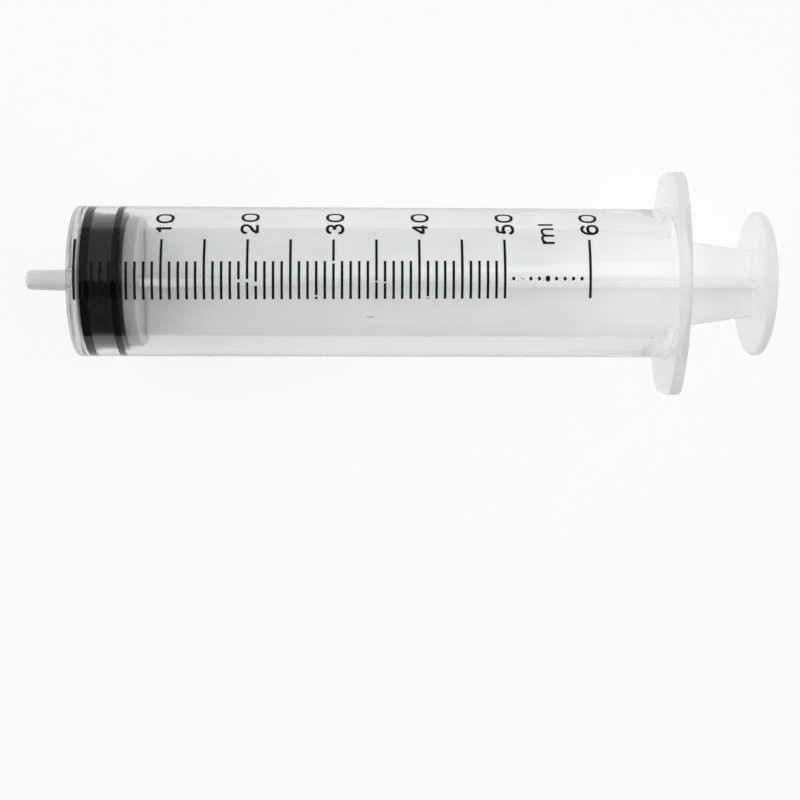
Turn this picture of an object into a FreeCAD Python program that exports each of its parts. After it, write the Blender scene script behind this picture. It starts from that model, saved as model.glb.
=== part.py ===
import FreeCAD, Part
import os
import Sketcher

# A 50/60 ml disposable syringe with an eccentric slip tip, lying with its scale up.
# Each body is drawn about the barrel's own axis: x = 0 is the barrel's flat front face,
# +X runs towards the thumb disc and +Z is the side that carries the scale.
# Its Placement then puts the axis level at the height of the flange's long side, so that
# the flange lies on the ground and the origin is under the middle of the whole syringe.

SIZES = {
    # barrel tube
    "bore_radius": 13.9,
    "wall": 1.1,
    "barrel_length": 120.4,
    "end_wall": 1.3,
    "shoulder_round": 0.5,
    "inner_corner_round": 0.5,
    "mouth_chamfer": 0.5,
    # bead inside the mouth that keeps the plunger from being pulled out
    "bead_setback": 4.0,
    "bead_foot": 1.2,
    "bead_crest": 0.8,
    "bead_height": 0.25,
    # finger flange
    "flange_thickness": 2.4,
    "flange_wing": 7.4,
    "flange_rim": 0.9,
    "flange_side_radius": 32.5,
    "flange_end_radius": 66.0,
    "flange_corner_round": 5.5,
    "flange_root_round": 0.5,
    "flange_edge_round": 0.35,
    # slip tip and the collar it stands on
    "collar_setback": 1.8,
    "collar_radius": 3.6,
    "collar_length": 4.0,
    "collar_round": 1.3,
    "collar_root_round": 0.25,
    "taper_length": 8.55,
    "taper_base_radius": 2.225,
    "taper_end_radius": 1.97,
    "taper_root_round": 0.5,
    "taper_end_round": 0.85,
    "lumen_radius": 1.05,
    "lumen_flare": 0.6,
    # rubber stopper
    "front_gap": 0.3,
    "seal_clearance": 0.02,
    "nose_slope_width": 1.2,
    "nose_length": 0.83,
    "front_seal_length": 1.75,
    "waist_length": 4.25,
    "waist_depth": 0.65,
    "rear_seal_length": 1.5,
    "rear_lip_length": 0.32,
    "seal_round": 0.3,
    "nose_edge_round": 0.3,
    "socket_floor": 2.4,
    # snap head of the plunger rod, which turns in the stopper's socket
    "head_radius": 8.0,
    "head_length": 2.5,
    "head_chamfer": 0.9,
    "neck_radius": 5.6,
    "snap_clearance": 0.1,
    # plunger rod
    "support_clearance": 0.9,
    "support_thickness": 2.85,
    "support_edge_round": 0.4,
    "fin_inset": 2.2,
    "fin_thickness": 1.5,
    "fin_end_half_width": 6.6,
    "fin_taper_length": 27.9,
    "fin_edge_round": 0.35,
    "core_round": 1.2,
    # thumb disc
    "thumb_setback": 15.3,
    "thumb_inset": 0.45,
    "thumb_thickness": 1.8,
    "thumb_edge_round": 0.7,
    "thumb_rim_width": 3.25,
    "thumb_dish_depth": 0.35,
}

# places along the axis and radii that follow from the sizes above
PLACES = {
    "outer_radius": "bore_radius + wall",
    "flange_half_span": "outer_radius + flange_wing",
    "flange_half_width": "outer_radius + flange_rim",
    "tip_offset": "outer_radius - collar_setback - collar_radius",
    "flange_face": "barrel_length - flange_thickness",
    "bead_end": "barrel_length - bead_setback",
    "tip_length": "collar_length + taper_length",
    "nose_face": "end_wall + front_gap",
    "seal_radius": "bore_radius - seal_clearance",
    "waist_radius": "bore_radius - waist_depth",
    "nose_radius": "waist_radius - nose_slope_width",
    "front_seal": "nose_face + nose_length",
    "waist_start": "front_seal + front_seal_length",
    "rear_seal": "waist_start + waist_length",
    "rear_lip": "rear_seal + rear_seal_length",
    "stopper_end": "rear_lip + rear_lip_length",
    "socket_face": "nose_face + socket_floor",
    "head_face": "socket_face + snap_clearance",
    "head_end": "head_face + head_length",
    "socket_lip": "head_end + snap_clearance",
    "socket_radius": "head_radius + snap_clearance",
    "socket_mouth": "neck_radius + snap_clearance",
    "support_radius": "bore_radius - support_clearance",
    "fin_half_width": "support_radius - fin_inset",
    "support_face": "stopper_end + snap_clearance",
    "support_end": "support_face + support_thickness",
    "thumb_face": "barrel_length + thumb_setback",
    "thumb_end": "thumb_face + thumb_thickness",
    "thumb_radius": "outer_radius - thumb_inset",
    "thumb_dish_radius": "thumb_radius - thumb_rim_width",
    "fin_taper_start": "thumb_face - fin_taper_length",
}

AT_ORIGIN = (-1, 1)
TIGHT = 1e-4

document = FreeCAD.newDocument("syringe")
sheet = document.addObject("Spreadsheet::Sheet", "sheet")
for row, (alias, size) in enumerate(SIZES.items(), start=1):
    sheet.set(f"A{row}", alias)
    sheet.set(f"B{row}", str(size))
    sheet.setAlias(f"B{row}", alias)
document.recompute()


def spell_out(words):
    """A sum such as 'end_wall + front_gap' as signed names of driving sizes."""
    terms = []
    sign = 1
    for word in words.split():
        if word in "+-":
            sign = 1 if word == "+" else -1
        elif word in PLACES:
            terms += [(sign * inner, name) for inner, name in spell_out(PLACES[word])]
        else:
            terms.append((sign, word))
    return terms


def measure(words):
    """The length that a sum of names stands for, in millimetres."""
    return sum(sign * SIZES[name] for sign, name in spell_out(words))


def bound(words):
    """The same sum as an expression on the sheet's cells."""
    return "".join(f" {'+' if sign > 0 else '-'} sheet.{name}" for sign, name in spell_out(words))


def new_body(name):
    body = document.addObject("PartDesign::Body", name)
    body.Label = name
    return body


def new_sketch(body, name, role, shift=None):
    """A sketch on one of the body's origin planes; shift is (direction, sum of names)."""
    plane = next(f for f in body.Origin.OriginFeatures if f.Role == role)
    sketch = body.newObject("Sketcher::SketchObject", name)
    sketch.AttachmentSupport = (plane, [""])
    sketch.MapMode = "FlatFace"
    if shift:
        direction, words = shift
        sketch.setExpression(f"AttachmentOffset.Base.{direction}", bound(words))
    return sketch


def pin_down(sketch, kind, place, words):
    """Ties a point's x or y to a sum of names, measured from the sketch's origin."""
    if words == "0":
        axis = -2 if kind == "DistanceX" else -1
        sketch.addConstraint(Sketcher.Constraint("PointOnObject", *place, axis))
        return
    length = measure(words)
    ends = AT_ORIGIN + place if length > 0 else place + AT_ORIGIN
    index = sketch.addConstraint(Sketcher.Constraint(kind, *ends, abs(length)))
    expression = bound(words) if length > 0 else f"-({bound(words)})"
    sketch.setExpression(f"Constraints[{index}]", expression)


def draw_outline(sketch, corners):
    """A closed outline of straight edges through corners given as (x, y) sums of names."""
    points = [
        FreeCAD.Vector(0 if x == "0" else measure(x), 0 if y == "0" else measure(y), 0) for x, y in corners
    ]
    count = len(points)
    for i in range(count):
        sketch.addGeometry(Part.LineSegment(points[i], points[(i + 1) % count]))
    for i in range(count):
        sketch.addConstraint(Sketcher.Constraint("Coincident", i, 2, (i + 1) % count, 1))
    for i, (x, y) in enumerate(corners):
        pin_down(sketch, "DistanceX", (i, 1), x)
        pin_down(sketch, "DistanceY", (i, 1), y)


def turn(body, kind, name, sketch):
    """A full turn of a sketch about its own horizontal axis, added or cut away."""
    feature = body.newObject(kind, name)
    feature.Profile = sketch
    feature.ReferenceAxis = (sketch, ["H_Axis"])
    feature.Angle = 360
    document.recompute()
    return feature


def pad(body, name, sketch, words, both_ways=False):
    feature = body.newObject("PartDesign::Pad", name)
    feature.Profile = sketch
    feature.setExpression("Length", bound(words))
    if both_ways:
        feature.SideType = "Symmetric"
    document.recompute()
    return feature


def dress(body, kind, name, edges, words):
    """A fillet or chamfer on edges of the body's last feature."""
    feature = body.newObject(f"PartDesign::{kind}", name)
    feature.Base = edges
    size = "Radius" if kind == "Fillet" else "Size"
    feature.setExpression(size, bound(words))
    document.recompute()
    return feature


def circles(feature, x, radius, z=0.0):
    """The feature's round edges about the line y = 0, z, at one place and of one radius."""
    found = []
    for i, edge in enumerate(feature.Shape.Edges, start=1):
        curve = edge.Curve
        if isinstance(curve, Part.Circle) and abs(curve.Radius - radius) < TIGHT:
            if (curve.Center - FreeCAD.Vector(x, 0, z)).Length < TIGHT:
                found.append(f"Edge{i}")
    return feature, found


def edges_where(feature, test):
    """The feature's edges that pass a test."""
    found = [f"Edge{i}" for i, edge in enumerate(feature.Shape.Edges, start=1) if test(edge)]
    return feature, found


def ends_and_middle(edge):
    first, last = edge.ParameterRange
    return [edge.valueAt(first + part * (last - first)) for part in (0, 0.5, 1)]


def is_straight(edge):
    return isinstance(edge.Curve, Part.Line)


def on_flange_outline(edge):
    """Is it one of the edges around the flange's rim, not one about the barrel's axis?"""
    if min(p.x for p in ends_and_middle(edge)) < measure("flange_face") - TIGHT:
        return False
    curve = edge.Curve
    return not (isinstance(curve, Part.Circle) and abs(curve.Center.y) + abs(curve.Center.z) < TIGHT)


def set_radius(sketch, curve, words):
    index = sketch.addConstraint(Sketcher.Constraint("Radius", curve, measure(words)))
    sketch.setExpression(f"Constraints[{index}]", bound(words))


def draw_flange(sketch):
    """Two long bowed sides and two nearly flat ends, around the opening of the bore."""
    normal = FreeCAD.Vector(0, 0, 1)
    half_span = measure("flange_half_span")
    half_width = measure("flange_half_width")
    # centres of the four arcs, in the order end, side, end, side
    centres = [
        ("flange_half_span - flange_end_radius", "0"),
        ("0", "flange_half_width - flange_side_radius"),
        ("flange_end_radius - flange_half_span", "0"),
        ("0", "flange_side_radius - flange_half_width"),
    ]
    radii = ("flange_end_radius", "flange_side_radius") * 2
    end = Part.Circle(FreeCAD.Vector(measure(centres[0][0]), 0, 0), normal, measure(radii[0]))
    side = Part.Circle(FreeCAD.Vector(0, measure(centres[1][1]), 0), normal, measure(radii[1]))
    meeting = max(end.intersectCC(side), key=lambda p: p.X + p.Y)
    y, z = meeting.X, meeting.Y
    corners = [(y, -z), (y, z), (-y, z), (-y, -z)]
    middles = [(half_span, 0), (0, half_width), (-half_span, 0), (0, -half_width)]
    for i in range(4):
        points = (corners[i], middles[i], corners[(i + 1) % 4])
        sketch.addGeometry(Part.Arc(*(FreeCAD.Vector(*point, 0) for point in points)))
    for i in range(4):
        sketch.addConstraint(Sketcher.Constraint("Coincident", i, 2, (i + 1) % 4, 1))
        set_radius(sketch, i, radii[i])
        pin_down(sketch, "DistanceX", (i, 3), centres[i][0])
        pin_down(sketch, "DistanceY", (i, 3), centres[i][1])
    opening = sketch.addGeometry(Part.Circle(FreeCAD.Vector(), normal, measure("bore_radius")))
    sketch.addConstraint(Sketcher.Constraint("Coincident", opening, 3, *AT_ORIGIN))
    set_radius(sketch, opening, "bore_radius")


def make_barrel():
    """Tube with a closed front, finger flange, collar, slip tip and lumen: one moulding."""
    body = new_body("barrel")

    section = new_sketch(body, "tube_section", "XZ_Plane")
    draw_outline(
        section,
        [
            ("0", "0"),
            ("0", "outer_radius"),
            ("barrel_length", "outer_radius"),
            ("barrel_length", "bore_radius"),
            ("end_wall", "bore_radius"),
            ("end_wall", "0"),
        ],
    )
    tube = turn(body, "PartDesign::Revolution", "tube", section)
    front_rim = circles(tube, 0, measure("outer_radius"))
    shoulder = dress(body, "Fillet", "shoulder", front_rim, "shoulder_round")
    inner_rim = circles(shoulder, measure("end_wall"), measure("bore_radius"))
    dress(body, "Fillet", "inner_corner", inner_rim, "inner_corner_round")

    outline = new_sketch(body, "flange_outline", "YZ_Plane", shift=("z", "flange_face"))
    draw_flange(outline)
    flange = pad(body, "flange", outline, "flange_thickness")
    corners = edges_where(flange, lambda edge: on_flange_outline(edge) and is_straight(edge))
    flange = dress(body, "Fillet", "flange_corners", corners, "flange_corner_round")
    border = edges_where(flange, lambda edge: on_flange_outline(edge) and not is_straight(edge))
    flange = dress(body, "Fillet", "flange_edges", border, "flange_edge_round")
    root = circles(flange, measure("flange_face"), measure("outer_radius"))
    flange = dress(body, "Fillet", "flange_root", root, "flange_root_round")
    mouth = circles(flange, measure("barrel_length"), measure("bore_radius"))
    dress(body, "Chamfer", "mouth", mouth, "mouth_chamfer")

    bead_section = new_sketch(body, "bead_section", "XZ_Plane")
    draw_outline(
        bead_section,
        [
            ("bead_end", "bore_radius"),
            ("bead_end - bead_foot", "bore_radius - bead_height"),
            ("bead_end - bead_foot - bead_crest", "bore_radius - bead_height"),
            ("bead_end - bead_foot - bead_crest - bead_foot", "bore_radius"),
        ],
    )
    turn(body, "PartDesign::Revolution", "bead", bead_section)

    tip_section = new_sketch(body, "tip_section", "XZ_Plane", shift=("y", "- tip_offset"))
    draw_outline(
        tip_section,
        [
            ("0", "0"),
            ("0", "collar_radius"),
            ("- collar_length", "collar_radius"),
            ("- collar_length", "taper_base_radius"),
            ("- tip_length", "taper_end_radius"),
            ("- tip_length", "0"),
        ],
    )
    tip = turn(body, "PartDesign::Revolution", "tip", tip_section)
    low = -measure("tip_offset")
    collar_end = -measure("collar_length")
    collar_root = circles(tip, 0, measure("collar_radius"), low)
    tip = dress(body, "Fillet", "collar_root", collar_root, "collar_root_round")
    taper_root = circles(tip, collar_end, measure("taper_base_radius"), low)
    tip = dress(body, "Fillet", "taper_root", taper_root, "taper_root_round")
    collar_edge = circles(tip, collar_end, measure("collar_radius"), low)
    tip = dress(body, "Fillet", "collar_shoulder", collar_edge, "collar_round")
    taper_end = circles(tip, -measure("tip_length"), measure("taper_end_radius"), low)
    dress(body, "Fillet", "taper_end", taper_end, "taper_end_round")
    uncut_volume = body.Shape.Volume

    lumen_section = new_sketch(body, "lumen_section", "XZ_Plane", shift=("y", "- tip_offset"))
    draw_outline(
        lumen_section,
        [
            ("- tip_length - lumen_flare", "0"),
            ("- tip_length - lumen_flare", "lumen_radius"),
            ("end_wall - lumen_flare", "lumen_radius"),
            ("end_wall", "lumen_radius + lumen_flare"),
            ("end_wall + front_gap", "lumen_radius + lumen_flare"),
            ("end_wall + front_gap", "0"),
        ],
    )
    turn(body, "PartDesign::Groove", "lumen", lumen_section)
    if body.Shape.Volume >= uncut_volume:
        raise RuntimeError("the lumen isn't cut")
    return body


def make_stopper():
    """Rubber stopper: low conical nose, two rounded sealing rings and an undercut socket."""
    body = new_body("stopper")

    section = new_sketch(body, "rubber_section", "XZ_Plane")
    draw_outline(
        section,
        [
            ("nose_face", "0"),
            ("nose_face", "nose_radius"),
            ("front_seal", "waist_radius"),
            ("front_seal", "seal_radius"),
            ("waist_start", "seal_radius"),
            ("waist_start", "waist_radius"),
            ("rear_seal", "waist_radius"),
            ("rear_seal", "seal_radius"),
            ("rear_lip", "seal_radius"),
            ("rear_lip", "waist_radius"),
            ("stopper_end", "waist_radius"),
            ("stopper_end", "0"),
        ],
    )
    rubber = turn(body, "PartDesign::Revolution", "rubber", section)
    crests = []
    for place in ("front_seal", "waist_start", "rear_seal", "rear_lip"):
        crests += circles(rubber, measure(place), measure("seal_radius"))[1]
    ribbed = dress(body, "Fillet", "seal_crests", (rubber, crests), "seal_round")
    borders = circles(ribbed, measure("nose_face"), measure("nose_radius"))[1]
    borders += circles(ribbed, measure("stopper_end"), measure("waist_radius"))[1]
    dress(body, "Fillet", "stopper_edges", (ribbed, borders), "nose_edge_round")
    uncut_volume = body.Shape.Volume

    socket_section = new_sketch(body, "socket_section", "XZ_Plane")
    draw_outline(
        socket_section,
        [
            ("socket_face", "0"),
            ("socket_face", "socket_radius - head_chamfer"),
            ("socket_face + head_chamfer", "socket_radius"),
            ("socket_lip", "socket_radius"),
            ("socket_lip", "socket_mouth"),
            ("stopper_end + front_gap", "socket_mouth"),
            ("stopper_end + front_gap", "0"),
        ],
    )
    turn(body, "PartDesign::Groove", "socket", socket_section)
    if body.Shape.Volume >= uncut_volume:
        raise RuntimeError("the socket isn't cut")
    return body


def in_core_corner(edge):
    """Does it run along the rod in a corner between two fins?"""
    half = measure("fin_thickness") / 2
    return all(abs(abs(p.y) - half) + abs(abs(p.z) - half) < TIGHT for p in ends_and_middle(edge))


def on_fin_edge(edge):
    """Does it run along a fin's outer edge?"""
    face = measure("fin_thickness") / 2
    points = ends_and_middle(edge)
    for p in points:
        low, high = sorted((abs(p.y), abs(p.z)))
        if abs(low - face) > TIGHT or high < measure("fin_end_half_width") - TIGHT:
            return False
    return abs(points[2].x - points[0].x) > TIGHT


def make_plunger_rod():
    """Snap head, support disc, four tapering fins and thumb disc: one moulding."""
    body = new_body("plunger_rod")

    head_section = new_sketch(body, "head_section", "XZ_Plane")
    draw_outline(
        head_section,
        [
            ("head_face", "0"),
            ("head_face", "head_radius - head_chamfer"),
            ("head_face + head_chamfer", "head_radius"),
            ("head_end", "head_radius"),
            ("head_end", "neck_radius"),
            ("support_face", "neck_radius"),
            ("support_face", "support_radius"),
            ("support_end", "support_radius"),
            ("support_end", "0"),
        ],
    )
    head = turn(body, "PartDesign::Revolution", "head", head_section)
    rims = circles(head, measure("support_face"), measure("support_radius"))[1]
    rims += circles(head, measure("support_end"), measure("support_radius"))[1]
    dress(body, "Fillet", "support_edges", (head, rims), "support_edge_round")

    for name, role in (("level_fins", "XY_Plane"), ("upright_fins", "XZ_Plane")):
        outline = new_sketch(body, f"{name}_outline", role)
        draw_outline(
            outline,
            [
                ("support_end", "fin_half_width"),
                ("fin_taper_start", "fin_half_width"),
                ("thumb_face", "fin_end_half_width"),
                ("thumb_face", "- fin_end_half_width"),
                ("fin_taper_start", "- fin_half_width"),
                ("support_end", "- fin_half_width"),
            ],
        )
        fins = pad(body, name, outline, "fin_thickness", both_ways=True)
    fins = dress(body, "Fillet", "core", edges_where(fins, in_core_corner), "core_round")
    dress(body, "Fillet", "fin_edges", edges_where(fins, on_fin_edge), "fin_edge_round")

    thumb_section = new_sketch(body, "thumb_section", "XZ_Plane")
    draw_outline(
        thumb_section,
        [
            ("thumb_face", "0"),
            ("thumb_face", "thumb_radius"),
            ("thumb_end", "thumb_radius"),
            ("thumb_end", "thumb_dish_radius"),
            ("thumb_end - thumb_dish_depth", "thumb_dish_radius - thumb_dish_depth"),
            ("thumb_end - thumb_dish_depth", "0"),
        ],
    )
    thumb = turn(body, "PartDesign::Revolution", "thumb_disc", thumb_section)
    rims = circles(thumb, measure("thumb_face"), measure("thumb_radius"))[1]
    rims += circles(thumb, measure("thumb_end"), measure("thumb_radius"))[1]
    dress(body, "Fillet", "thumb_edges", (thumb, rims), "thumb_edge_round")
    return body


def lay_down(body):
    """Sets the axis level above the ground, with the origin under the syringe's middle."""
    body.setExpression("Placement.Base.x", f"-({bound('thumb_end - tip_length')}) / 2")
    body.setExpression("Placement.Base.z", bound("flange_half_width"))


bodies = [make_barrel(), make_stopper(), make_plunger_rod()]
for body in bodies:
    lay_down(body)
document.recompute()

for item in document.Objects:
    if "Invalid" in item.State or "Error" in item.State:
        raise RuntimeError(f"{item.Label} didn't build")
for body in bodies:
    if body.Shape.isNull() or not body.Shape.isValid() or len(body.Shape.Solids) != 1:
        raise RuntimeError(f"{body.Label} isn't one valid solid")

os.makedirs("parts", exist_ok=True)
for body in bodies:
    body.Shape.exportStep(f"parts/{body.Label}.step")
    print(f"{body.Label}: {body.Shape.Volume:.1f} mm3")
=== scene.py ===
import math

import bmesh
import bpy
from mathutils import Matrix, Vector


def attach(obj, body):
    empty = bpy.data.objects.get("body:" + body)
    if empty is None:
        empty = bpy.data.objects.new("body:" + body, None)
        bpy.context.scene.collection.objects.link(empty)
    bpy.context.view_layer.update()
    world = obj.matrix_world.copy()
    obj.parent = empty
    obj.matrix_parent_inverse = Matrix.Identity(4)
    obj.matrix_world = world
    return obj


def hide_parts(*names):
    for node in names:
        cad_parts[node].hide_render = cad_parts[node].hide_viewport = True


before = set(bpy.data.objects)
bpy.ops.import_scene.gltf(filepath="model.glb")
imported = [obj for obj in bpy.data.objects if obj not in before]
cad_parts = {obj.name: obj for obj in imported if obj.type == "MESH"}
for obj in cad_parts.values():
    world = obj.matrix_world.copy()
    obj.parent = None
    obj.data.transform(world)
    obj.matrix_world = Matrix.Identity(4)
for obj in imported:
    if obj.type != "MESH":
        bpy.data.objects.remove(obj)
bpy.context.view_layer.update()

# A 50/60 ml disposable syringe with an eccentric slip tip, lying with its scale up.
# Shapes are made in millimetres about the barrel's own axis, with x = 0 at the barrel's flat
# front face, +x towards the thumb disc and +z on the side of the scale. One matrix then
# puts them into the frame, where the axis lies level above the ground.
MM = 0.001
FRONT_FACE_X = -62.475
AXIS_HEIGHT = 15.9
INTO_FRAME = Matrix.Scale(MM, 4) @ Matrix.Translation((FRONT_FACE_X, 0, AXIS_HEIGHT))

# the main places along the axis, and the barrel's two radii
BORE = 13.9
OUTSIDE = 15.0
END_WALL = 1.3
FLANGE_FACE = 118.0
MOUTH = 120.4
THUMB_FACE = 135.7

# places nearer to each other than this count as one, in millimetres
NEAR = 0.001
# how many faces round off one corner
ROUND_STEPS = 6

# mesh helpers


def lathe(line, steps):
    """Turns a line of (x, radius, rounding) corners once about the x axis.

    A corner in the middle of a straight stretch only divides the faces there.
    """
    mesh = bmesh.new()
    corners = [mesh.verts.new((x, 0, radius)) for x, radius, _ in line]
    for pair in zip(corners, corners[1:]):
        mesh.edges.new(pair)
    for corner, (_, _, rounding) in zip(corners, line):
        if rounding:
            bmesh.ops.bevel(
                mesh, geom=[corner], offset=rounding, offset_type="OFFSET", segments=ROUND_STEPS,
                profile=0.5, affect="VERTICES", material=-1,
            )
    bmesh.ops.spin(
        mesh, geom=mesh.verts[:] + mesh.edges[:], cent=(0, 0, 0), axis=(1, 0, 0),
        dvec=(0, 0, 0), angle=math.tau, steps=steps, use_merge=True,
    )
    bmesh.ops.remove_doubles(mesh, verts=mesh.verts, dist=1e-4)
    return mesh


def shade(mesh, sharp_degrees):
    """Smooth faces, with edges kept sharp where the surface turns by more than an angle."""
    sharp = math.radians(sharp_degrees)
    for face in mesh.faces:
        face.smooth = True
    for edge in mesh.edges:
        edge.smooth = not (len(edge.link_faces) == 2 and edge.calc_face_angle(0) > sharp)


def round_edges(mesh, edges, radius, segments):
    bmesh.ops.bevel(
        mesh, geom=edges, offset=radius, offset_type="OFFSET", segments=segments,
        profile=0.5, affect="EDGES", material=-1,
    )


def cut_plane(mesh, place, normal):
    """Cuts every face that a plane crosses in two."""
    everything = mesh.verts[:] + mesh.edges[:] + mesh.faces[:]
    bmesh.ops.bisect_plane(mesh, geom=everything, plane_co=place, plane_no=normal)


def move_into(target, source):
    """Adds one mesh to another and lets go of the first."""
    data = bpy.data.meshes.new("part")
    source.to_mesh(data)
    source.free()
    target.from_mesh(data)
    bpy.data.meshes.remove(data)


def finish_piece(mesh, name, material, body, nodes=()):
    """Makes an object of a mesh in millimetres, puts it in the frame and ties it to its body."""
    bmesh.ops.recalc_face_normals(mesh, faces=mesh.faces)
    bmesh.ops.transform(mesh, matrix=INTO_FRAME, verts=mesh.verts)
    data = bpy.data.meshes.new(name)
    mesh.to_mesh(data)
    mesh.free()
    data.materials.append(material)
    piece = bpy.data.objects.new(name, data)
    bpy.context.scene.collection.objects.link(piece)
    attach(piece, body)
    if nodes:
        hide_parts(*nodes)
    return piece


# material helpers

# the colour sockets of a Mix node
MIX_FIRST = 6
MIX_SECOND = 7
MIX_RESULT = 2

# the middle range of a noise, which a range of numbers or colours is spread over
NOISE_LOW = 0.3
NOISE_HIGH = 0.7


def new_material(name):
    material = bpy.data.materials.new(name)
    material.use_nodes = True
    tree = material.node_tree
    return material, tree, tree.nodes["Principled BSDF"]


def noise(tree, scale, detail, stretch=(1, 1, 1)):
    """Noise on Object coordinates, in patches of 1/scale metres, drawn out where stretch is under 1."""
    place = tree.nodes.new("ShaderNodeTexCoord")
    turn = tree.nodes.new("ShaderNodeMapping")
    turn.inputs["Scale"].default_value = stretch
    texture = tree.nodes.new("ShaderNodeTexNoise")
    texture.inputs["Scale"].default_value = scale
    texture.inputs["Detail"].default_value = detail
    tree.links.new(place.outputs["Object"], turn.inputs["Vector"])
    tree.links.new(turn.outputs["Vector"], texture.inputs["Vector"])
    return texture.outputs["Fac"]


def ramp_between(tree, source, start, end, low=0.0, high=1.0):
    """Goes from low to high while the source goes from start to end."""
    node = tree.nodes.new("ShaderNodeMapRange")
    node.inputs["From Min"].default_value = start
    node.inputs["From Max"].default_value = end
    node.inputs["To Min"].default_value = low
    node.inputs["To Max"].default_value = high
    tree.links.new(source, node.inputs["Value"])
    return node.outputs["Result"]


def spread(tree, source, low, high):
    """Maps a noise's middle range to a range of numbers."""
    return ramp_between(tree, source, NOISE_LOW, NOISE_HIGH, low, high)


def tint(tree, source, dark, light):
    """A colour between two colours, by a noise's middle range."""
    ramp = tree.nodes.new("ShaderNodeValToRGB")
    ends = zip(ramp.color_ramp.elements, (NOISE_LOW, NOISE_HIGH), (dark, light))
    for element, position, colour in ends:
        element.position = position
        element.color = (*colour, 1)
    tree.links.new(source, ramp.inputs["Fac"])
    return ramp.outputs["Color"]


def grey_steps(tree, source, steps):
    """A grey that follows (position, level) steps while the source goes from 0 to 1."""
    ramp = tree.nodes.new("ShaderNodeValToRGB")
    elements = ramp.color_ramp.elements
    while len(elements) < len(steps):
        elements.new(0.5)
    for element, (position, level) in zip(elements, steps):
        element.position = position
        element.color = (level, level, level, 1)
    tree.links.new(source, ramp.inputs["Fac"])
    return ramp.outputs["Color"]


def bump(tree, shader, source, depth):
    """Raises the surface by a noise; the depth is in millimetres."""
    node = tree.nodes.new("ShaderNodeBump")
    node.inputs["Distance"].default_value = depth * MM
    tree.links.new(source, node.inputs["Height"])
    tree.links.new(node.outputs["Normal"], shader.inputs["Normal"])


def two_number_node(tree, operation, first):
    node = tree.nodes.new("ShaderNodeMath")
    node.operation = operation
    tree.links.new(first, node.inputs[0])
    return node


def larger_of(tree, first, second):
    node = two_number_node(tree, "MAXIMUM", first)
    tree.links.new(second, node.inputs[1])
    return node.outputs[0]


def share_of(tree, source, share):
    node = two_number_node(tree, "MULTIPLY", source)
    node.inputs[1].default_value = share
    return node.outputs[0]


def mix_shaders(tree, mask, first, second):
    """Shows the first shader where the mask is 0 and the second where it is 1."""
    mix = tree.nodes.new("ShaderNodeMixShader")
    for source, socket in zip((mask, first.outputs[0], second.outputs[0]), mix.inputs):
        tree.links.new(source, socket)
    tree.links.new(mix.outputs[0], tree.nodes["Material Output"].inputs["Surface"])


def mix_colours(tree, first, second, blend):
    """A Mix node for two colours, whose factor is still to be set or linked."""
    node = tree.nodes.new("ShaderNodeMix")
    node.data_type = "RGBA"
    node.blend_type = blend
    tree.links.new(first, node.inputs[MIX_FIRST])
    tree.links.new(second, node.inputs[MIX_SECOND])
    return node


def let_lamps_through(tree, shader, share):
    """Lamps shine through this material onto what is behind it."""
    rays = tree.nodes.new("ShaderNodeLightPath")
    clear = tree.nodes.new("ShaderNodeBsdfTransparent")
    clear.inputs["Color"].default_value = (share, share, share, 1)
    mix_shaders(tree, rays.outputs["Is Shadow Ray"], shader, clear)


# materials

PLASTIC_IOR = 1.49

# how hazy the bore gets towards its mouth, and the stretch of the barrel over which it does
MOUTH_HAZE = 0.3
MOUTH_HAZE_START = 96
MOUTH_HAZE_END = 114

# painted shade on the rod, from one place along it, at 0, to another, at 1: darkest on the snap end and
# support disc in the stopper's shadow, painted light just behind the disc against the fins' contact
# shadow
ROD_SHADE_START = 10
ROD_SHADE_END = 110
ROD_SHADE_STEPS = [
    (0.0, 0.42), (0.027, 0.44), (0.031, 0.56), (0.0335, 0.96), (0.045, 0.92), (0.1, 0.87),
    (0.25, 0.88), (0.45, 0.95), (1.0, 1.0),
]


def place_along(tree):
    """Where a point is along the frame's x axis, in metres."""
    place = tree.nodes.new("ShaderNodeTexCoord")
    along = tree.nodes.new("ShaderNodeSeparateXYZ")
    tree.links.new(place.outputs["Object"], along.inputs["Vector"])
    return along.outputs["X"]


def reach_from_axis(tree):
    """How far a point is from the barrel's axis, in metres."""
    place = tree.nodes.new("ShaderNodeTexCoord")
    flatten = tree.nodes.new("ShaderNodeMapping")
    flatten.inputs["Location"].default_value = (0, 0, -AXIS_HEIGHT * MM)
    flatten.inputs["Scale"].default_value = (0, 1, 1)
    reach = tree.nodes.new("ShaderNodeVectorMath")
    reach.operation = "LENGTH"
    tree.links.new(place.outputs["Object"], flatten.inputs["Vector"])
    tree.links.new(flatten.outputs["Vector"], reach.inputs[0])
    return reach.outputs["Value"]


def thick_places(tree):
    """1 where the moulding is thick enough to look milky: the flange, and the collar and tip.

    Returns that, and the same with the haze that the bore gets towards its mouth.
    """
    reach = reach_from_axis(tree)
    along = place_along(tree)
    flange = ramp_between(tree, reach, (OUTSIDE + 0.02) * MM, (OUTSIDE + 0.5) * MM)
    tip = ramp_between(tree, along, (FRONT_FACE_X - 0.02) * MM, (FRONT_FACE_X - 0.4) * MM)
    haze_start = (FRONT_FACE_X + MOUTH_HAZE_START) * MM
    haze_end = (FRONT_FACE_X + MOUTH_HAZE_END) * MM
    mouth = ramp_between(tree, along, haze_start, haze_end, high=MOUTH_HAZE)
    thick = larger_of(tree, flange, tip)
    return thick, larger_of(tree, thick, mouth)


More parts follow.
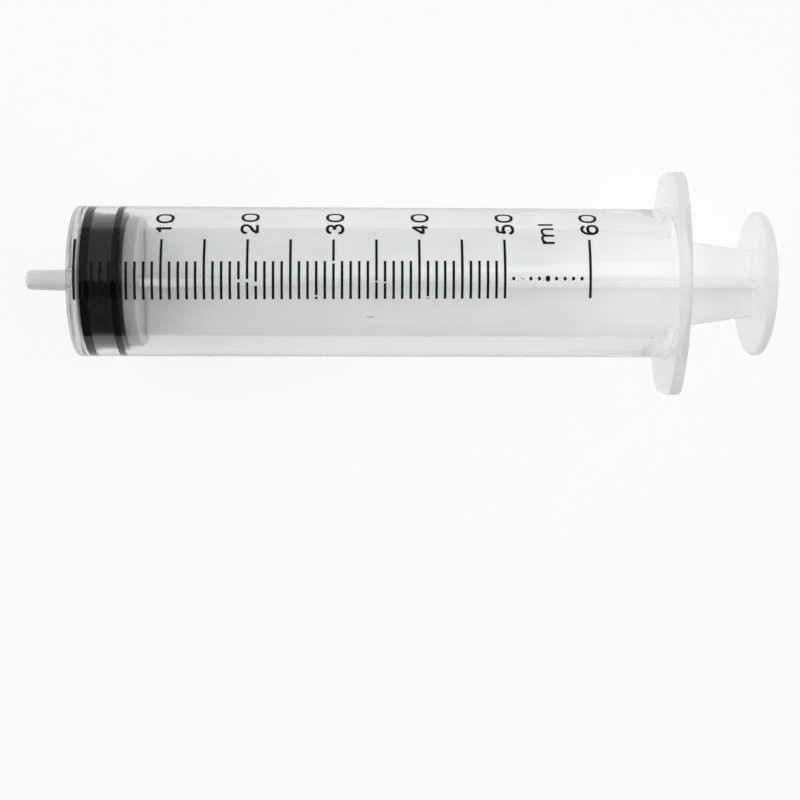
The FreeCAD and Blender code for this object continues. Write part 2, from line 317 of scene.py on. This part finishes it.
def clear_polypropylene():
    """The barrel: clear in the thin wall, milky in the flange and tip, with faint flow streaks."""
    material, tree, shader = new_material("clear_polypropylene")
    streaks = noise(tree, scale=260, detail=3, stretch=(0.12, 1, 1))
    clouds = noise(tree, scale=120, detail=3)
    thick, hazy = thick_places(tree)
    thin_colour = tint(tree, streaks, dark=(0.95, 0.953, 0.955), light=(0.99, 0.99, 0.99))
    thick_colour = tint(tree, clouds, dark=(0.92, 0.923, 0.927), light=(0.955, 0.957, 0.96))
    colour = mix_colours(tree, thin_colour, thick_colour, "MIX")
    tree.links.new(thick, colour.inputs["Factor"])
    tree.links.new(colour.outputs[MIX_RESULT], shader.inputs["Base Color"])
    tree.links.new(spread(tree, streaks, low=0.06, high=0.12), shader.inputs["Roughness"])
    shader.inputs["IOR"].default_value = PLASTIC_IOR
    shader.inputs["Specular IOR Level"].default_value = 0.25
    clearness = ramp_between(tree, hazy, 0, 1, low=1.0, high=0.25)
    tree.links.new(clearness, shader.inputs["Transmission Weight"])
    skin = noise(tree, scale=900, detail=2, stretch=(0.25, 1, 1))
    bump(tree, shader, skin, depth=0.003)
    let_lamps_through(tree, shader, share=0.97)
    return material


def milky_polypropylene():
    """The plunger rod: milky, with a satin skin, and painted shade that darkens it towards its front,
    behind the stopper.
    """
    material, tree, shader = new_material("milky_polypropylene")
    clouds = noise(tree, scale=90, detail=4)
    milk = tint(tree, clouds, dark=(0.875, 0.88, 0.884), light=(0.925, 0.928, 0.93))
    shade_start = (FRONT_FACE_X + ROD_SHADE_START) * MM
    shade_end = (FRONT_FACE_X + ROD_SHADE_END) * MM
    # painted shade along the rod: its grey follows ROD_SHADE_STEPS, darkest behind the stopper
    painted_shade_place = ramp_between(tree, place_along(tree), shade_start, shade_end)
    shadow = grey_steps(tree, painted_shade_place, ROD_SHADE_STEPS)
    colour = mix_colours(tree, milk, shadow, "MULTIPLY")
    colour.inputs["Factor"].default_value = 1
    tree.links.new(colour.outputs[MIX_RESULT], shader.inputs["Base Color"])
    streaks = noise(tree, scale=500, detail=3, stretch=(0.2, 1, 1))
    tree.links.new(spread(tree, streaks, low=0.28, high=0.38), shader.inputs["Roughness"])
    shader.inputs["IOR"].default_value = PLASTIC_IOR
    shader.inputs["Subsurface Weight"].default_value = 1.0
    shader.inputs["Subsurface Radius"].default_value = (1.0, 1.0, 1.0)
    shader.inputs["Subsurface Scale"].default_value = 3 * MM
    bump(tree, shader, noise(tree, scale=1400, detail=3), depth=0.008)
    let_lamps_through(tree, shader, share=0.9)
    return material


def black_rubber(name, shine):
    """The stopper: satin black, slightly mottled. Where it is pressed to the wall it has no shine."""
    material, tree, shader = new_material(name)
    film = noise(tree, scale=240, detail=4)
    colour = tint(tree, film, dark=(0.0012, 0.0012, 0.0014), light=(0.003, 0.0032, 0.004))
    tree.links.new(colour, shader.inputs["Base Color"])
    tree.links.new(spread(tree, film, low=0.18, high=0.3), shader.inputs["Roughness"])
    shader.inputs["Specular IOR Level"].default_value = shine
    bump(tree, shader, noise(tree, scale=2500, detail=2), depth=0.006)
    return material


def black_ink():
    """The printed scale: matt ink, a little thin in places."""
    material, tree, shader = new_material("black_ink")
    film = noise(tree, scale=1200, detail=3)
    colour = tint(tree, film, dark=(0.0015, 0.0015, 0.0015), light=(0.004, 0.004, 0.004))
    tree.links.new(colour, shader.inputs["Base Color"])
    tree.links.new(spread(tree, film, low=0.45, high=0.6), shader.inputs["Roughness"])
    shader.inputs["Specular IOR Level"].default_value = 0.15
    return material


# barrel

FLANGE_HALF_SPAN = 22.4
FLANGE_HALF_WIDTH = 15.885
# radii of the bowed ends, the bowed sides and the corners of the flange's outline
FLANGE_END_BOW = 66.0
FLANGE_SIDE_BOW = 32.5
FLANGE_CORNER = 5.5
# the flange's rim, this wide, takes the outline's shape
FLANGE_RIM = 0.5

# the low ridge in the mouth that holds the stopper in
RIDGE_TOP = BORE - 0.2
RIDGE_FOOT_ROUNDING = 0.7
RIDGE_TOP_ROUNDING = 0.38

TIP_DROP = 9.6
COLLAR_RADIUS = 3.6
COLLAR_END = -4
TIP_FOOT_RADIUS = 2.225
TIP_END_RADIUS = 1.97
TIP_END = -12.55
LUMEN = 1.05


def flange_reach(angle):
    """How far the flange's outline is from the axis, in a direction (0 is along y)."""
    end_middle = Vector((FLANGE_HALF_SPAN - FLANGE_END_BOW, 0))
    side_middle = Vector((0, FLANGE_HALF_WIDTH - FLANGE_SIDE_BOW))
    ray = Vector((abs(math.cos(angle)), abs(math.sin(angle))))

    def to_circle(middle, radius):
        along = middle.dot(ray)
        return along + math.sqrt(max(along * along - middle.length_squared + radius * radius, 0))

    # the corner's own centre is where the two arcs that lie a corner's radius further in meet
    inner_end = FLANGE_END_BOW - FLANGE_CORNER
    inner_side = FLANGE_SIDE_BOW - FLANGE_CORNER
    apart = side_middle - end_middle
    span = apart.length
    back = (inner_end * inner_end - inner_side * inner_side + span * span) / (2 * span)
    rise = math.sqrt(inner_end * inner_end - back * back)
    direction = apart / span
    across = Vector((-direction.y, direction.x))
    crossings = [end_middle + direction * back + across * rise * side for side in (1, -1)]
    middle = max(crossings, key=lambda point: point.x + point.y)
    to_end = middle + (middle - end_middle).normalized() * FLANGE_CORNER
    to_side = middle + (middle - side_middle).normalized() * FLANGE_CORNER
    turn = math.atan2(ray.y, ray.x)
    if math.atan2(to_end.y, to_end.x) < turn < math.atan2(to_side.y, to_side.x):
        return to_circle(middle, FLANGE_CORNER)
    return min(to_circle(end_middle, FLANGE_END_BOW), to_circle(side_middle, FLANGE_SIDE_BOW))


def shape_flange(shell):
    """Moves the round flange's rim to the outline of the real one."""
    for vert in shell.verts:
        reach = math.hypot(vert.co.y, vert.co.z)
        if reach > FLANGE_HALF_SPAN - FLANGE_RIM:
            angle = math.atan2(vert.co.z, vert.co.y)
            stretch = (flange_reach(angle) - (FLANGE_HALF_SPAN - reach)) / reach
            vert.co.y *= stretch
            vert.co.z *= stretch


def make_shell():
    """Tube and finger flange. Both ends of the line are open rims, around the tip."""
    flat_edge = FLANGE_HALF_SPAN - 0.4
    tube = [
        (0, 14.2, 0), (0, OUTSIDE, 0.5), (0.6, OUTSIDE, 0), (3, OUTSIDE, 0), (40, OUTSIDE, 0),
        (80, OUTSIDE, 0), (115, OUTSIDE, 0), (117.4, OUTSIDE, 0),
    ]
    flange = [
        (FLANGE_FACE, OUTSIDE, 0.5), (FLANGE_FACE, 15.52, 0), (FLANGE_FACE, flat_edge, 0),
        (FLANGE_FACE, FLANGE_HALF_SPAN, 0.35), (MOUTH, FLANGE_HALF_SPAN, 0.35),
        (MOUTH, flat_edge, 0), (MOUTH, OUTSIDE, 0),
    ]
    bore = [
        (MOUTH, BORE + 0.5, 0.1), (MOUTH - 0.5, BORE, 0.1), (118, BORE, 0),
        (117.2, BORE, RIDGE_FOOT_ROUNDING), (115.2, RIDGE_TOP, RIDGE_TOP_ROUNDING),
        (114.4, RIDGE_TOP, RIDGE_TOP_ROUNDING), (112.4, BORE, RIDGE_FOOT_ROUNDING),
        (111, BORE, 0), (80, BORE, 0), (40, BORE, 0), (3, BORE, 0), (1.9, BORE, 0),
        (END_WALL, BORE, 0.5), (END_WALL, 13.35, 0),
    ]
    shell = lathe(tube + flange + bore, steps=256)
    shape_flange(shell)
    return shell


def make_tip():
    """Collar, tapered tip and the lumen through both and the front wall, also with open rims."""
    outside = [
        (0, 3.86, 0), (0, COLLAR_RADIUS, 0.25), (-0.3, COLLAR_RADIUS, 0), (-2.6, COLLAR_RADIUS, 0),
        (COLLAR_END, COLLAR_RADIUS, 1.3), (COLLAR_END, TIP_FOOT_RADIUS, 0.5), (-4.7, 2.2, 0),
        (-11.6, 2, 0), (TIP_END, TIP_END_RADIUS, 0.85),
    ]
    lumen = [
        (TIP_END, LUMEN, 0), (-12, LUMEN, 0), (0.5, LUMEN, 0), (0.7, LUMEN, 0.1),
        (END_WALL, 1.65, 0.1), (END_WALL, 2.3, 0),
    ]
    tip = lathe(outside + lumen, steps=96)
    bmesh.ops.translate(tip, verts=tip.verts, vec=(0, 0, -TIP_DROP))
    return tip


def close_flat_rim(mesh, plane):
    """Fills the ring-shaped flat between the open rims that lie in one plane."""

    def lies_in_plane(edge):
        return all(abs(vert.co.x - plane) < NEAR for vert in edge.verts)

    rims = [edge for edge in mesh.edges if edge.is_boundary and lies_in_plane(edge)]
    bmesh.ops.triangle_fill(mesh, edges=rims, use_beauty=True)
    return rims


def make_barrel(material):
    """Tube, finger flange, collar, tip and lumen as one closed moulding."""
    shell = make_shell()
    move_into(shell, make_tip())
    rims = close_flat_rim(shell, 0) + close_flat_rim(shell, END_WALL)
    bmesh.ops.recalc_face_normals(shell, faces=shell.faces)
    shade(shell, sharp_degrees=32)
    for rim in rims:
        rim.smooth = False
    finish_piece(shell, "barrel_moulding", material, "barrel", ["barrel"])


# plunger rod

HEAD_FRONT = 4.1
HEAD_BACK = 6.6
HEAD_RADIUS = 8.0
# the head's front edge is cut back to this radius, over this length
HEAD_NOSE_RADIUS = 7.1
HEAD_NOSE_LENGTH = 0.9
NECK_RADIUS = 5.6

SUPPORT_FRONT = 10.35
SUPPORT_BACK = 13.2
SUPPORT_RADIUS = 13.0

FINS_START = 13.1
TAPER_START = 107.8
FINS_END = THUMB_FACE + 0.3
FIN_THICKNESS = 1.5
FIN_HALF_WIDTH = 10.8
THUMB_HALF_WIDTH = 6.6

THUMB_BACK = 137.5
THUMB_RADIUS = 14.55
RECESS_DEPTH = 0.35
RECESS_RADIUS = 11.3


def make_fins(material):
    """Four fins crossing in a rounded core, tapering towards the thumb disc."""
    half = FIN_THICKNESS / 2
    # the taper goes on into the thumb disc, which hides the fins' end
    slope = (FIN_HALF_WIDTH - THUMB_HALF_WIDTH) / (THUMB_FACE - TAPER_START)
    end_half_width = THUMB_HALF_WIDTH - (FINS_END - THUMB_FACE) * slope
    fins = bmesh.new()
    bmesh.ops.create_cube(fins, size=1)
    core = (FINS_END - FINS_START, FIN_THICKNESS, FIN_THICKNESS)
    bmesh.ops.scale(fins, verts=fins.verts, vec=core)
    bmesh.ops.translate(fins, verts=fins.verts, vec=((FINS_START + FINS_END) / 2, 0, 0))
    sides = [face for face in fins.faces if abs(face.normal.x) < 0.5]
    for face in bmesh.ops.extrude_discrete_faces(fins, faces=sides)["faces"]:
        bmesh.ops.translate(fins, verts=face.verts, vec=face.normal * (FIN_HALF_WIDTH - half))
    cut_plane(fins, (TAPER_START, 0, 0), (1, 0, 0))
    for vert in fins.verts:
        if vert.co.x > FINS_END - NEAR:
            for side in (1, 2):
                if abs(vert.co[side]) > FIN_HALF_WIDTH - NEAR:
                    vert.co[side] = math.copysign(end_half_width, vert.co[side])

    def long_edges(test):
        """The edges along the rod whose ends both pass a test of |y| and |z|, the smaller first."""
        found = []
        for edge in fins.edges:
            first, second = (vert.co for vert in edge.verts)
            spots = [sorted((abs(spot.y), abs(spot.z))) for spot in (first, second)]
            if abs(first.x - second.x) > 1 and all(test(*spot) for spot in spots):
                found.append(edge)
        return found

    def in_corner(smaller, larger):
        return abs(smaller - half) < NEAR and abs(larger - half) < NEAR

    def on_outer_edge(smaller, larger):
        return abs(smaller - half) < NEAR and larger > end_half_width - NEAR

    round_edges(fins, long_edges(in_corner), radius=1.2, segments=6)
    round_edges(fins, long_edges(on_outer_edge), radius=0.35, segments=4)
    shade(fins, sharp_degrees=30)
    finish_piece(fins, "rod_fins", material, "plunger", ["plunger_rod"])


def make_snap_end(material):
    """Snap head in the stopper's socket, its neck and the support disc behind the rubber."""
    flat_edge = SUPPORT_RADIUS - 0.5
    end = lathe(
        [
            (HEAD_FRONT, 0, 0), (HEAD_FRONT, HEAD_NOSE_RADIUS, 0.1),
            (HEAD_FRONT + HEAD_NOSE_LENGTH, HEAD_RADIUS, 0.1), (HEAD_BACK, HEAD_RADIUS, 0.1),
            (HEAD_BACK, NECK_RADIUS, 0.1), (SUPPORT_FRONT, NECK_RADIUS, 0.1),
            (SUPPORT_FRONT, flat_edge, 0), (SUPPORT_FRONT, SUPPORT_RADIUS, 0.4),
            (SUPPORT_BACK, SUPPORT_RADIUS, 0.4), (SUPPORT_BACK, flat_edge, 0), (SUPPORT_BACK, 0, 0),
        ],
        steps=128,
    )
    shade(end, sharp_degrees=35)
    finish_piece(end, "rod_snap_end", material, "plunger")


def make_thumb_disc(material):
    """Thumb disc, with a shallow recess in its outer face."""
    flat_edge = THUMB_RADIUS - 0.85
    floor = THUMB_BACK - RECESS_DEPTH
    floor_radius = RECESS_RADIUS - RECESS_DEPTH
    disc = lathe(
        [
            (THUMB_FACE, 0, 0), (THUMB_FACE, flat_edge, 0), (THUMB_FACE, THUMB_RADIUS, 0.7),
            (THUMB_BACK, THUMB_RADIUS, 0.7), (THUMB_BACK, flat_edge, 0),
            (THUMB_BACK, RECESS_RADIUS + 0.2, 0), (THUMB_BACK, RECESS_RADIUS, 0.1),
            (floor, floor_radius, 0.1), (floor, floor_radius - 0.25, 0), (floor, 0, 0),
        ],
        steps=192,
    )
    shade(disc, sharp_degrees=35)
    finish_piece(disc, "rod_thumb_disc", material, "plunger")


# stopper

STOPPER_FRONT = 1.6
STOPPER_BACK = 10.25
WAIST = BORE - 0.4
# the rings' crests bear on the wall, so they stand a little into it
CREST = BORE + 0.04
SNAP_GAP = 0.1


def make_stopper(material, pressed):
    """Rubber stopper with two rings, and a socket that fits the snap head."""
    outside = [
        (STOPPER_FRONT, 0, 0), (STOPPER_FRONT, 4, 0), (STOPPER_FRONT, 12.05, 0.3),
        (2.36, WAIST, 0.1), (2.38, CREST, 0.15), (4.18, CREST, 0.25), (4.2, WAIST, 0.2),
        (6.3, WAIST, 0), (8.41, WAIST, 0.2), (8.43, CREST, 0.2), (9.93, CREST, 0.25),
        (9.95, WAIST, 0.1), (STOPPER_BACK, WAIST, 0.19),
    ]
    socket = [
        (STOPPER_BACK, NECK_RADIUS + SNAP_GAP, 0.1),
        (HEAD_BACK + SNAP_GAP, NECK_RADIUS + SNAP_GAP, 0.1),
        (HEAD_BACK + SNAP_GAP, HEAD_RADIUS + SNAP_GAP, 0.1),
        (HEAD_FRONT + HEAD_NOSE_LENGTH - SNAP_GAP, HEAD_RADIUS + SNAP_GAP, 0),
        (HEAD_FRONT - SNAP_GAP, HEAD_NOSE_RADIUS + SNAP_GAP, 0),
        (HEAD_FRONT - SNAP_GAP, 0, 0),
    ]
    rubber = lathe(outside + socket, steps=192)
    shade(rubber, sharp_degrees=40)
    for face in rubber.faces:
        if all(math.hypot(vert.co.y, vert.co.z) > WAIST + 0.1 for vert in face.verts):
            face.material_index = 1
    piece = finish_piece(rubber, "rubber_stopper", material, "stopper", ["stopper"])
    piece.data.materials.append(pressed)


# printed scale

ZERO_LINE = 1.60
LINE_PITCH = 1.651
LINE_WIDTH = 0.5
# the whole print winds a little around the barrel, in degrees per millimetre of length, and the
# ends of its lines wind a little more
PRINT_SKEW = 0.0143
END_SKEW = 0.012
# where the lines start and end, in degrees around the barrel
PRINT_FOOT = -12.3
SHORT_TOP = 15.8
LONG_TOP = 34.0
# short breaks in the ink of some lines: the angle and half the gap, in degrees
LINE_BREAKS = {
    19: [(1.7, 1.0)],
    20: [(1.8, 1.2)],
    21: [(-0.4, 1.5)],
    28: [(-9.4, 0.5)],
    30: [(15.5, 0.9)],
    35: [(1.2, 0.4)],
    36: [(0.6, 0.5)],
    41: [(-10.2, 0.5)],
}

DOT_ANGLE = 3.4
DOT_SIZE = 0.62
MIDDLE_DOT_SIZE = 0.95
DOT_STRETCH = 1.25
# the dot that came out as a broken ring: what is left of it, as place along, angle and two sizes
BROKEN_DOT = 52
BROKEN_DOT_BITS = [(-0.2, 3.9, 0.34, 0.2), (0.22, 3.0, 0.4, 0.22)]
# specks of stray ink: place along, angle, size across and size along
SPECKS = [
    (10.82, 8.1, 0.3, 0.2),
    (113.72, -45.5, 0.3, 0.3),
    (19.76, 51.3, 0.25, 0.3),
    (58.2, -25.8, 0.12, 1.6),
]

# where the numerals and the unit start and end, in degrees around the barrel
FIRST_NUMERAL = (38.2, 49.3)
SECOND_NUMERAL = (51.2, 64.0)
NARROW_ONE = (39.4, 45.4)
ZERO_AFTER_ONE = (49.4, 62.4)
NUMERAL_SHIFT = 0.27
NUMERAL_HEIGHT = 3.6
NUMERAL_PEN = 0.61
# the unit's letters: place along, the two angles and the height
UNIT = {"m": (92.75, (30.2, 45.4), 2.85), "l": (92.4, (47.9, 50.2), 3.4)}
UNIT_PEN = 0.52

# how far the ink floats over the barrel, so that it shows, and how thick it is
INK_FLOAT = 0.004
INK_DEPTH = 0.012
# the width of the strips that a flat line is cut into
STRIP = 0.7

# Strokes of the plain numerals and letters, on the middle of the pen, 1 high. "smooth" runs
# through its points in a curve, "closed" also joins its ends, and "straight" has corners.
STROKES = {
    "0": [
        ("closed", [(0.3, 1), (0.5, 0.89), (0.58, 0.5), (0.5, 0.11), (0.3, 0), (0.1, 0.11),
                    (0.02, 0.5), (0.1, 0.89)]),
    ],
    "1": [
        ("smooth", [(0, 0.74), (0.18, 0.8), (0.27, 1)]),
        ("straight", [(0.27, 1), (0.27, 0)]),
    ],
    "2": [
        ("smooth", [(0.02, 0.68), (0.09, 0.91), (0.31, 1), (0.52, 0.91), (0.58, 0.73),
                    (0.48, 0.5), (0.2, 0.27), (0.03, 0)]),
        ("straight", [(0.03, 0), (0.6, 0)]),
    ],
    "3": [
        ("smooth", [(0.03, 0.74), (0.1, 0.93), (0.3, 1), (0.49, 0.93), (0.55, 0.76),
                    (0.46, 0.59), (0.26, 0.54)]),
        ("smooth", [(0.26, 0.54), (0.5, 0.47), (0.6, 0.27), (0.5, 0.07), (0.3, 0),
                    (0.09, 0.07), (0.01, 0.28)]),
    ],
    "4": [
        ("straight", [(0.46, 0), (0.46, 1), (0.01, 0.31), (0.62, 0.31)]),
    ],
    "5": [
        ("straight", [(0.55, 1), (0.14, 1), (0.06, 0.48)]),
        ("smooth", [(0.06, 0.48), (0.16, 0.59), (0.32, 0.62), (0.52, 0.53), (0.59, 0.32),
                    (0.51, 0.08), (0.3, 0), (0.09, 0.06), (0.01, 0.24)]),
    ],
    "6": [
        ("smooth", [(0.56, 0.8), (0.47, 0.94), (0.31, 1), (0.1, 0.86), (0.02, 0.48),
                    (0.06, 0.16), (0.17, 0.03), (0.33, 0), (0.52, 0.08), (0.59, 0.31),
                    (0.51, 0.54), (0.32, 0.61), (0.13, 0.53), (0.03, 0.34)]),
    ],
    "m": [
        ("straight", [(0, 0), (0, 1)]),
        ("smooth", [(0, 0.7), (0.08, 0.92), (0.2, 1), (0.31, 0.93), (0.35, 0.73)]),
        ("straight", [(0.35, 0.73), (0.35, 0)]),
        ("smooth", [(0.35, 0.7), (0.43, 0.92), (0.55, 1), (0.66, 0.93), (0.7, 0.73)]),
        ("straight", [(0.7, 0.73), (0.7, 0)]),
    ],
    "l": [
        ("straight", [(0, 0), (0, 1)]),
    ],
}


def on_barrel(x, angle, height):
    """A point over the barrel's outer surface; the angle is in degrees from the top towards +y."""
    turn = math.radians(angle + PRINT_SKEW * x)
    return Vector((x, (OUTSIDE + height) * math.sin(turn), (OUTSIDE + height) * math.cos(turn)))


def wrap(mesh, x, angle):
    """Bends a flat print, drawn with y along the barrel backwards and x around it, onto the barrel."""
    for vert in mesh.verts:
        around = angle + math.degrees(vert.co.x / OUTSIDE)
        vert.co = on_barrel(x - vert.co.y, around, INK_FLOAT + vert.co.z)


def add_line(scale, ml, foot, top):
    """One printed line across the barrel, from one angle to another."""
    length = math.radians(top - foot) * OUTSIDE
    line = bmesh.new()
    bmesh.ops.create_cube(line, size=1)
    bmesh.ops.scale(line, verts=line.verts, vec=(length, LINE_WIDTH, INK_DEPTH))
    bmesh.ops.translate(line, verts=line.verts, vec=(0, 0, INK_DEPTH / 2))
    for cut in range(1, int(length / STRIP) + 1):
        cut_plane(line, (-length / 2 + cut * STRIP, 0, 0), (1, 0, 0))
    wrap(line, ZERO_LINE + LINE_PITCH * ml, (foot + top) / 2)
    move_into(scale, line)


def add_dot(scale, x, angle, across, along):
    """A round or oval dot of ink."""
    dot = bmesh.new()
    bmesh.ops.create_cone(
        dot, cap_ends=True, segments=20, radius1=0.5, radius2=0.5, depth=INK_DEPTH
    )
    bmesh.ops.scale(dot, verts=dot.verts, vec=(across, along, 1))
    bmesh.ops.translate(dot, verts=dot.verts, vec=(0, 0, INK_DEPTH / 2))
    wrap(dot, x, angle)
    move_into(scale, dot)


def draw_strokes(glyph, width, height, pen):
    """A curve object of a glyph's strokes, drawn with a round pen, with its middle at 0."""
    curve = bpy.data.curves.new("glyph", "CURVE")
    curve.dimensions = "3D"
    curve.use_fill_caps = True
    curve.resolution_u = 6
    curve.bevel_depth = pen / 2
    curve.bevel_resolution = 1
    wide = max(point[0] for _, points in STROKES[glyph] for point in points)
    stretch = (width - pen) / wide if wide else 1

    def placed(point):
        return (point[0] - wide / 2) * stretch, (point[1] - 0.5) * (height - pen), 0

    for kind, points in STROKES[glyph]:
        if kind == "straight":
            for pair in zip(points, points[1:]):
                spline = curve.splines.new("POLY")
                spline.points.add(1)
                for target, point in zip(spline.points, pair):
                    target.co = (*placed(point), 1)
            continue
        spline = curve.splines.new("BEZIER")
        spline.bezier_points.add(len(points) - 1)
        spline.use_cyclic_u = kind == "closed"
        for target, point in zip(spline.bezier_points, points):
            target.co = placed(point)
            target.handle_left_type = target.handle_right_type = "AUTO"
    holder = bpy.data.objects.new("glyph", curve)
    bpy.context.scene.collection.objects.link(holder)
    return holder


def add_glyph(scale, glyph, x, angles, height, pen):
    """A glyph between two angles, its middle at x, pressed flat on the barrel."""
    foot, top = angles
    holder = draw_strokes(glyph, math.radians(top - foot) * OUTSIDE, height, pen)
    curve = holder.data
    drawn = holder.evaluated_get(bpy.context.evaluated_depsgraph_get())
    data = bpy.data.meshes.new_from_object(drawn)
    glyph_mesh = bmesh.new()
    glyph_mesh.from_mesh(data)
    bpy.data.objects.remove(holder)
    bpy.data.curves.remove(curve)
    bpy.data.meshes.remove(data)
    bmesh.ops.remove_doubles(glyph_mesh, verts=glyph_mesh.verts, dist=1e-5)
    bmesh.ops.scale(glyph_mesh, verts=glyph_mesh.verts, vec=(1, 1, INK_DEPTH / pen))
    bmesh.ops.translate(glyph_mesh, verts=glyph_mesh.verts, vec=(0, 0, INK_DEPTH / 2))
    wrap(glyph_mesh, x, (foot + top) / 2)
    move_into(scale, glyph_mesh)


def make_lines(material):
    """The lines at every millilitre to 50 and at 60, the dots between them, and stray specks."""
    lines = bmesh.new()
    for ml in [*range(51), 60]:
        lean = END_SKEW * LINE_PITCH * ml
        foot = PRINT_FOOT + lean
        top = LONG_TOP if ml % 5 == 0 else SHORT_TOP + lean
        for middle, half in LINE_BREAKS.get(ml, []):
            add_line(lines, ml, foot, middle - half)
            foot = middle + half
        add_line(lines, ml, foot, top)
    for ml in range(51, 60):
        x = ZERO_LINE + LINE_PITCH * ml
        size = MIDDLE_DOT_SIZE if ml == 55 else DOT_SIZE
        if ml == BROKEN_DOT:
            for shift, angle, across, along in BROKEN_DOT_BITS:
                add_dot(lines, x + shift, angle, across, along)
        else:
            add_dot(lines, x, DOT_ANGLE, size * DOT_STRETCH, size)
    for speck in SPECKS:
        add_dot(lines, *speck)
    finish_piece(lines, "scale_lines", material, "barrel")


def make_numerals(material):
    """The numerals at every 10 millilitres and the unit."""
    numerals = bmesh.new()
    for ml in range(10, 61, 10):
        x = ZERO_LINE + LINE_PITCH * ml + NUMERAL_SHIFT
        first, second = (NARROW_ONE, ZERO_AFTER_ONE) if ml == 10 else (FIRST_NUMERAL, SECOND_NUMERAL)
        add_glyph(numerals, str(ml)[0], x, first, NUMERAL_HEIGHT, NUMERAL_PEN)
        add_glyph(numerals, "0", x, second, NUMERAL_HEIGHT, NUMERAL_PEN)
    for letter, (x, angles, height) in UNIT.items():
        add_glyph(numerals, letter, x, angles, height, UNIT_PEN)
    finish_piece(numerals, "scale_numerals", material, "barrel")


# table, light and camera

# half of the table's side, in metres
TABLE_HALF_SIZE = 3
# how much of the table's own white glow is seen, directly and by way of the plastic
SEEN_DIRECTLY = 0.85
SEEN_IN_PLASTIC = 0.45

# how bright the dim room is from the near side, at 0, to the far side, at 1
ROOM_STEPS = [(0.27, 0.10), (0.33, 0.03), (0.505, 0.02), (0.52, 0.32)]

# soft boxes: place, the point that they face and two sizes in metres, and power in watts
PANELS = {
    "left_far_panel": ((-0.85, 0.45, 0.8), (0, 0, 0), (0.7, 0.7), 5.0),
    "left_near_panel": ((-0.85, -0.4, 0.8), (0, 0, 0), (0.7, 0.7), 3.3),
    "right_far_panel": ((0.85, 0.45, 0.8), (0, 0, 0), (0.7, 0.7), 3.0),
    "right_near_panel": ((0.85, -0.4, 0.8), (0, 0, 0), (0.7, 0.7), 3.2),
    "overhead_strip": ((0.32, 0.37, 1.0), (0.02, 0, 0), (0.46, 0.32), 0.5),
}

# where the camera is, in metres, which way its right and its top point, and its lens in millimetres
CAMERA_PLACE = (-0.0074957, 0.0073921, 0.3195243)
CAMERA_RIGHT = Vector((0.99951482, 0.00475374, 0.03078179))
CAMERA_UP = Vector((-0.00157795, 0.99474367, -0.10238429))
CAMERA_LENS = 67.51
CAMERA_SENSOR = 36


def make_table():
    """A white table with a faint shadow. By way of the plastic, more of the shadow shows."""
    table = bmesh.new()
    bmesh.ops.create_grid(table, x_segments=1, y_segments=1, size=TABLE_HALF_SIZE)
    data = bpy.data.meshes.new("floor")
    table.to_mesh(data)
    table.free()
    material, tree, shader = new_material("white_table")
    shader.inputs["Base Color"].default_value = (0.95, 0.95, 0.95, 1)
    shader.inputs["Roughness"].default_value = 0.8
    rays = tree.nodes.new("ShaderNodeLightPath")
    glow = tree.nodes.new("ShaderNodeEmission")
    glow.inputs["Color"].default_value = (1, 1, 1, 1)
    direct = share_of(tree, rays.outputs["Is Camera Ray"], SEEN_DIRECTLY)
    mirrored = share_of(tree, rays.outputs["Is Glossy Ray"], SEEN_IN_PLASTIC)
    through = share_of(tree, rays.outputs["Is Transmission Ray"], SEEN_IN_PLASTIC)
    glowing = larger_of(tree, direct, larger_of(tree, mirrored, through))
    mix_shaders(tree, glowing, shader, glow)
    data.materials.append(material)
    piece = bpy.data.objects.new("floor", data)
    bpy.context.scene.collection.objects.link(piece)


def add_panel(name, place, target, size, power):
    """A soft box that faces a point."""
    lamp = bpy.data.lights.new(name, "AREA")
    lamp.shape = "RECTANGLE"
    lamp.size, lamp.size_y = size
    lamp.energy = power
    panel = bpy.data.objects.new(name, lamp)
    panel.location = place
    facing = Vector(target) - Vector(place)
    panel.rotation_euler = facing.to_track_quat("-Z", "Y").to_euler()
    bpy.context.scene.collection.objects.link(panel)


def make_room():
    """A dim room: dull on the near side, dark overhead, greyer on the far side."""
    world = bpy.data.worlds.new("studio")
    world.use_nodes = True
    tree = world.node_tree
    place = tree.nodes.new("ShaderNodeTexCoord")
    sides = tree.nodes.new("ShaderNodeSeparateXYZ")
    tree.links.new(place.outputs["Generated"], sides.inputs["Vector"])
    near_to_far = ramp_between(tree, sides.outputs["Y"], -1, 1)
    room = grey_steps(tree, near_to_far, ROOM_STEPS)
    tree.links.new(room, tree.nodes["Background"].inputs["Color"])
    bpy.context.scene.world = world


def make_camera():
    """Looks nearly straight down, from a little past the barrel's middle."""
    lens = bpy.data.cameras.new("camera")
    lens.sensor_width = CAMERA_SENSOR
    lens.lens = CAMERA_LENS
    lens.clip_start = 0.01
    camera = bpy.data.objects.new("camera", lens)
    back = CAMERA_RIGHT.cross(CAMERA_UP)
    turn = Matrix((CAMERA_RIGHT, CAMERA_UP, back)).transposed().to_4x4()
    camera.matrix_world = Matrix.Translation(CAMERA_PLACE) @ turn
    bpy.context.scene.collection.objects.link(camera)
    bpy.context.scene.camera = camera


# the syringe

make_barrel(clear_polypropylene())
make_stopper(black_rubber("black_rubber", shine=0.15), black_rubber("pressed_rubber", shine=0.0))
milky = milky_polypropylene()
make_fins(milky)
make_snap_end(milky)
make_thumb_disc(milky)
ink = black_ink()
make_lines(ink)
make_numerals(ink)

# the studio

make_table()
make_room()
for panel_name, panel_values in PANELS.items():
    add_panel(panel_name, *panel_values)
make_camera()
bpy.context.scene.view_settings.view_transform = "Standard"
